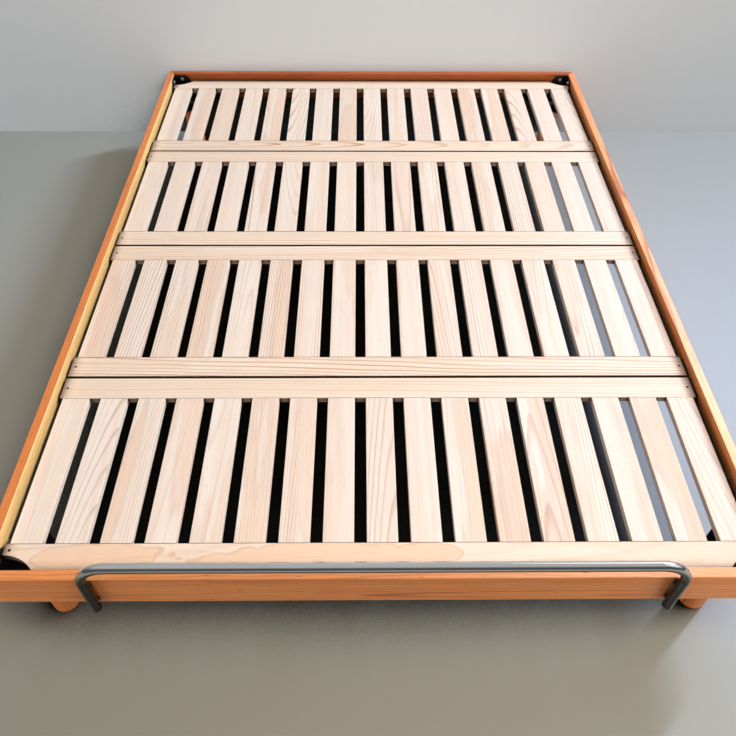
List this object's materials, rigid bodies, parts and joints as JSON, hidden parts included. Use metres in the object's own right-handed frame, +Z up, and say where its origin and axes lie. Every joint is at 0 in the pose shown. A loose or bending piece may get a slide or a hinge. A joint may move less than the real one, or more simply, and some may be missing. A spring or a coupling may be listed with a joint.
{
  "type": "platform bed",
  "caption": "Low platform bed: hardwood rails on round legs, black steel corner brackets, loose slatted panels that lift out, and a bent steel tube that stops the mattress at the foot.",
  "frame": {"origin": "on the floor, at the centre of the overall length and width of the bed, tube included", "axes": "+X to the right seen from the foot, +Y towards the head along the bed's length, +Z up"},
  "size_m": [1.57, 2.128, 0.35],
  "materials": {
    "cherry": "oiled, satin",
    "pine": "sanded, untreated",
    "black_steel": "semi-gloss black powder coat",
    "stop_tube": "polished stainless tube",
    "zinc": "bright zinc fasteners",
    "brass": "machined",
    "felt": "pressed felt"
  },
  "bodies": {
    "frame": {"side_rail_left": "cherry", "side_rail_right": "cherry", "head_rail": "cherry", "foot_rail": "cherry", "corner_bracket_head_left": "black_steel", "corner_bracket_head_right": "black_steel", "corner_bracket_foot_left": "black_steel", "corner_bracket_foot_right": "black_steel", "bracket_bolts": "zinc", "bracket_inserts": "brass", "leg_head_left": "cherry", "leg_head_right": "cherry", "leg_foot_left": "cherry", "leg_foot_right": "cherry", "centre_leg": "cherry", "leg_studs": "zinc", "leg_nuts": "zinc", "leg_glides": "felt", "side_ledge_left": "black_steel", "side_ledge_right": "black_steel", "end_ledge_head": "black_steel", "end_ledge_foot": "black_steel", "ledge_screws": "zinc", "locating_pins": "black_steel", "centre_beam": "pine", "beam_bracket_head": "black_steel", "beam_bracket_foot": "black_steel", "beam_screws": "zinc", "mattress_stop": "stop_tube", "stop_spacers": "zinc", "stop_screws": "zinc"},
    "panel_1": {"panel_1_rear_member": "pine", "panel_1_slats": "pine", "panel_1_front_member": "pine"},
    "panel_2": {"panel_2_rear_member": "pine", "panel_2_slats": "pine", "panel_2_front_member": "pine"},
    "panel_3": {"panel_3_rear_member": "pine", "panel_3_slats": "pine", "panel_3_front_member": "pine"},
    "panel_4": {"panel_4_rear_member": "pine", "panel_4_slats": "pine", "panel_4_front_member": "pine"}
  },
  "joints": [
    {"name": "panel_1_lift", "type": "slide", "parent": "frame", "child": "panel_1", "axis": [0, 0, 1], "range_m": [0, 0.12]},
    {"name": "panel_2_lift", "type": "slide", "parent": "frame", "child": "panel_2", "axis": [0, 0, 1], "range_m": [0, 0.12]},
    {"name": "panel_3_lift", "type": "slide", "parent": "frame", "child": "panel_3", "axis": [0, 0, 1], "range_m": [0, 0.12]},
    {"name": "panel_4_lift", "type": "slide", "parent": "frame", "child": "panel_4", "axis": [0, 0, 1], "range_m": [0, 0.12]}
  ]
}
